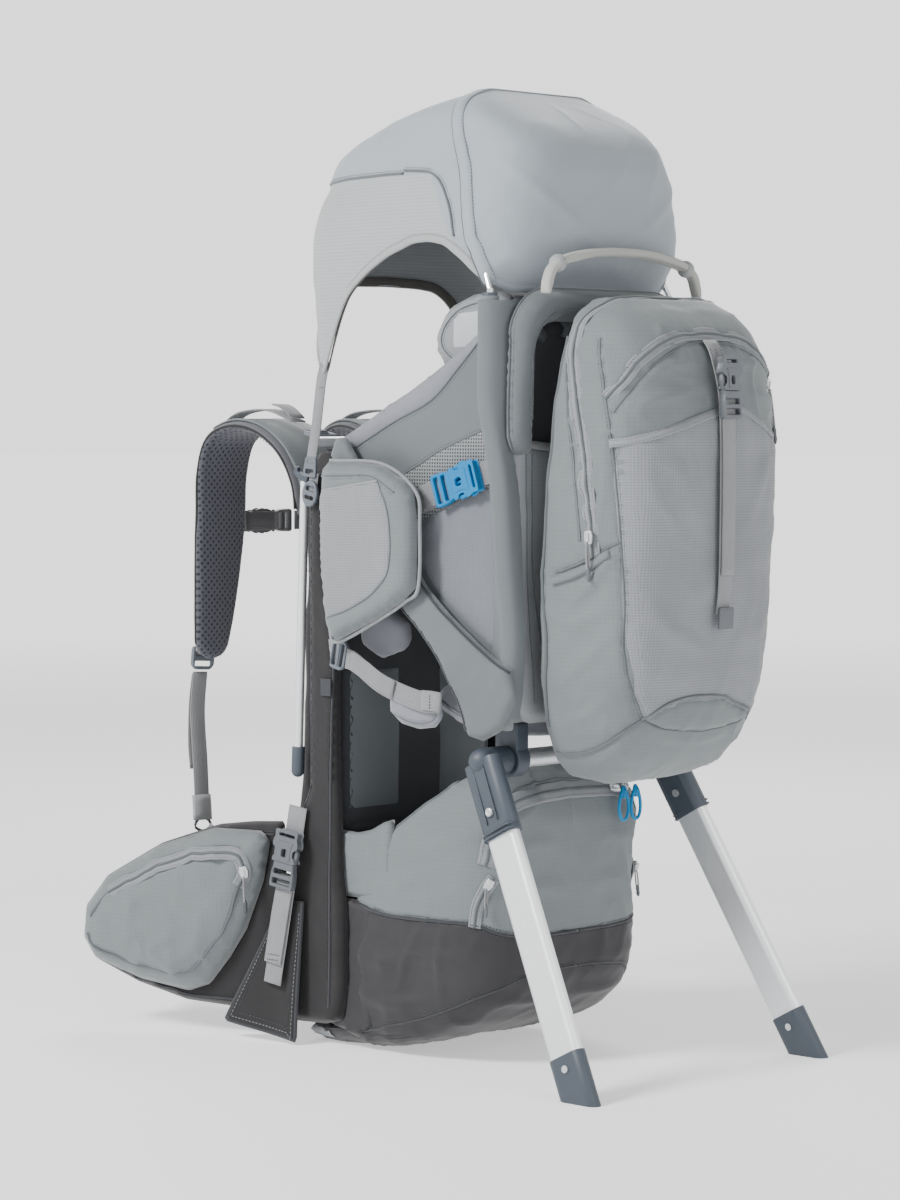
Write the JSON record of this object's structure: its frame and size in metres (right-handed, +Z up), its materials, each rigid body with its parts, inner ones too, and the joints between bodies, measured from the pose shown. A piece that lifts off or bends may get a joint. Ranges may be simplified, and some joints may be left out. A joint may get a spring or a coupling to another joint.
{
  "type": "framed child carrier backpack",
  "caption": "Metal-framed backpack that carries a small child in a padded cockpit, with a sunshade, removable daypack, fold-out kickstand, shoulder harness and hip belt.",
  "frame": {"origin": "on the ground, at the centre of the overall footprint", "axes": "+X the wearer's right, +Y the way the wearer faces, +Z up"},
  "size_m": [0.4098, 0.7315, 0.936],
  "materials": {
    "frame_tube": "bright clear-anodised",
    "moulded_slate": "fine matt texture",
    "shell_fabric": "plain weave over foam",
    "back_fabric": "open spacer mesh over foam",
    "ripstop": "coated ripstop weave",
    "boot_fabric": "heavy coated weave",
    "shade_fabric": "light ripstop weave",
    "light_mesh": "stretch mesh",
    "pad_fabric": "soft brushed knit",
    "spacer_mesh": "open spacer mesh over foam",
    "webbing": "woven polyester webbing",
    "handle_fabric": "padded webbing",
    "cyan_plastic": "satin acetal",
    "grey_plastic": "satin acetal",
    "dark_plastic": "satin acetal",
    "cyan_cord": "braided cord"
  },
  "bodies": {
    "frame": {"front_uprights": "frame_tube", "upright_caps": "moulded_slate", "struts": "frame_tube", "rear_uprights": "moulded_slate", "top_crossbar": "frame_tube", "pivot_brackets": "moulded_slate", "back_panel": "back_fabric", "side_strips": "shell_fabric", "base_boot": "boot_fabric", "cargo_bag": "ripstop", "back_shell": "shell_fabric", "headrest_rim": "ripstop", "head_support": "shade_fabric", "cockpit_side_left": "ripstop", "cockpit_side_right": "ripstop", "front_pad": "pad_fabric", "side_pockets": "light_mesh", "frame_webbing": "webbing", "cockpit_sockets": "cyan_plastic", "flap_sockets": "grey_plastic", "frame_ladder_locks": "moulded_slate"},
    "kickstand": {"kickstand_crossbar": "frame_tube", "elbow_left": "moulded_slate", "elbow_right": "moulded_slate", "leg_left": "frame_tube", "leg_right": "frame_tube", "foot_left": "moulded_slate", "foot_right": "moulded_slate", "kickstand_rivets": "frame_tube"},
    "sunshade": {"sunshade_hoop": "frame_tube", "sunshade_brim": "frame_tube", "sunshade_canopy": "shade_fabric", "sunshade_straps": "webbing"},
    "daypack": {"daypack_bag": "ripstop", "daypack_webbing": "webbing", "daypack_socket": "grey_plastic"},
    "daypack_buckle": {"daypack_plug": "grey_plastic"},
    "harness": {"shoulder_yoke": "shell_fabric", "shoulder_strap_left": "spacer_mesh", "shoulder_strap_right": "spacer_mesh", "harness_webbing": "webbing", "strap_ladder_locks": "moulded_slate"},
    "sternum": {"sternum_strap": "dark_plastic"},
    "sternum_buckle": {"sternum_plug": "dark_plastic"},
    "seat": {"child_seat": "pad_fabric"},
    "hip_left": {"hip_wing_left": "shell_fabric", "hip_pouch_left": "ripstop", "belt_socket_strap": "webbing"},
    "hip_right": {"hip_wing_right": "shell_fabric", "hip_pouch_right": "ripstop", "belt_plug_strap": "webbing"},
    "cockpit_buckle_left": {"cockpit_plug_left": "cyan_plastic"},
    "cockpit_buckle_right": {"cockpit_plug_right": "cyan_plastic"},
    "flap_buckle_left": {"flap_plug_left": "grey_plastic"},
    "flap_buckle_right": {"flap_plug_right": "grey_plastic"},
    "handle": {"grab_handle": "handle_fabric"},
    "zip_pull_left": {"cargo_zip_pull_left": "cyan_cord"},
    "zip_pull_right": {"cargo_zip_pull_right": "cyan_cord"},
    "stirrup_left_strap": {"stirrup_left": "light_mesh"},
    "stirrup_right_strap": {"stirrup_right": "light_mesh"}
  },
  "joints": [
    {"name": "kickstand_fold", "type": "hinge", "parent": "frame", "child": "kickstand", "pos_m": [0, -0.165, 0.298], "axis": [1, 0, 0], "range_deg": [0, 55]},
    {"name": "sunshade_lift", "type": "slide", "parent": "frame", "child": "sunshade", "axis": [0, 0, 1], "range_m": [0, 0.05]},
    {"name": "daypack_off", "type": "slide", "parent": "frame", "child": "daypack", "axis": [0, -1, 0], "range_m": [0, 0.12]},
    {"name": "daypack_release", "type": "slide", "parent": "daypack", "child": "daypack_buckle", "axis": [0, -0.061, -0.9981], "range_m": [0, 0.02]},
    {"name": "harness_height", "type": "slide", "parent": "frame", "child": "harness", "axis": [0, 0, 1], "range_m": [-0.1, 0]},
    {"name": "sternum_height", "type": "slide", "parent": "harness", "child": "sternum", "axis": [0, 0, 1], "range_m": [-0.025, 0.025]},
    {"name": "sternum_release", "type": "slide", "parent": "sternum", "child": "sternum_buckle", "axis": [1, 0, 0], "range_m": [0, 0.02]},
    {"name": "seat_height", "type": "slide", "parent": "frame", "child": "seat", "axis": [0, 0, 1], "range_m": [0, 0.06]},
    {"name": "hip_wrap_left", "type": "hinge", "parent": "frame", "child": "hip_left", "pos_m": [-0.12, 0.11, 0.12], "axis": [0, 0, -1], "range_deg": [0, 9]},
    {"name": "hip_wrap_right", "type": "hinge", "parent": "frame", "child": "hip_right", "pos_m": [0.12, 0.11, 0.12], "axis": [0, 0, 1], "range_deg": [0, 9]},
    {"name": "cockpit_release_left", "type": "slide", "parent": "frame", "child": "cockpit_buckle_left", "axis": [0, 0.9507, -0.31], "range_m": [0, 0.02]},
    {"name": "cockpit_release_right", "type": "slide", "parent": "frame", "child": "cockpit_buckle_right", "axis": [0, 0.9507, -0.31], "range_m": [0, 0.02]},
    {"name": "flap_release_left", "type": "slide", "parent": "frame", "child": "flap_buckle_left", "axis": [-0.092, 0.115, -0.9891], "range_m": [0, 0.02]},
    {"name": "flap_release_right", "type": "slide", "parent": "frame", "child": "flap_buckle_right", "axis": [0.092, 0.115, -0.9891], "range_m": [0, 0.02]},
    {"name": "handle_swing", "type": "hinge", "parent": "frame", "child": "handle", "pos_m": [0, -0.227, 0.74], "axis": [1, 0, 0], "range_deg": [0, 60]},
    {"name": "zip_swing_left", "type": "hinge", "parent": "frame", "child": "zip_pull_left", "pos_m": [0.06, -0.178, 0.262], "axis": [1, 0, 0], "range_deg": [-70, 0]},
    {"name": "zip_swing_right", "type": "hinge", "parent": "frame", "child": "zip_pull_right", "pos_m": [0.078, -0.178, 0.262], "axis": [1, 0, 0], "range_deg": [-70, 0]},
    {"name": "stirrup_swing_left", "type": "hinge", "parent": "frame", "child": "stirrup_left_strap", "pos_m": [-0.132, 0.008, 0.386], "axis": [0.035, 0.9704, 0.2391], "range_deg": [0, 30]},
    {"name": "stirrup_swing_right", "type": "hinge", "parent": "frame", "child": "stirrup_right_strap", "pos_m": [0.132, 0.008, 0.386], "axis": [0.035, -0.9704, -0.2391], "range_deg": [0, 30]}
  ]
}
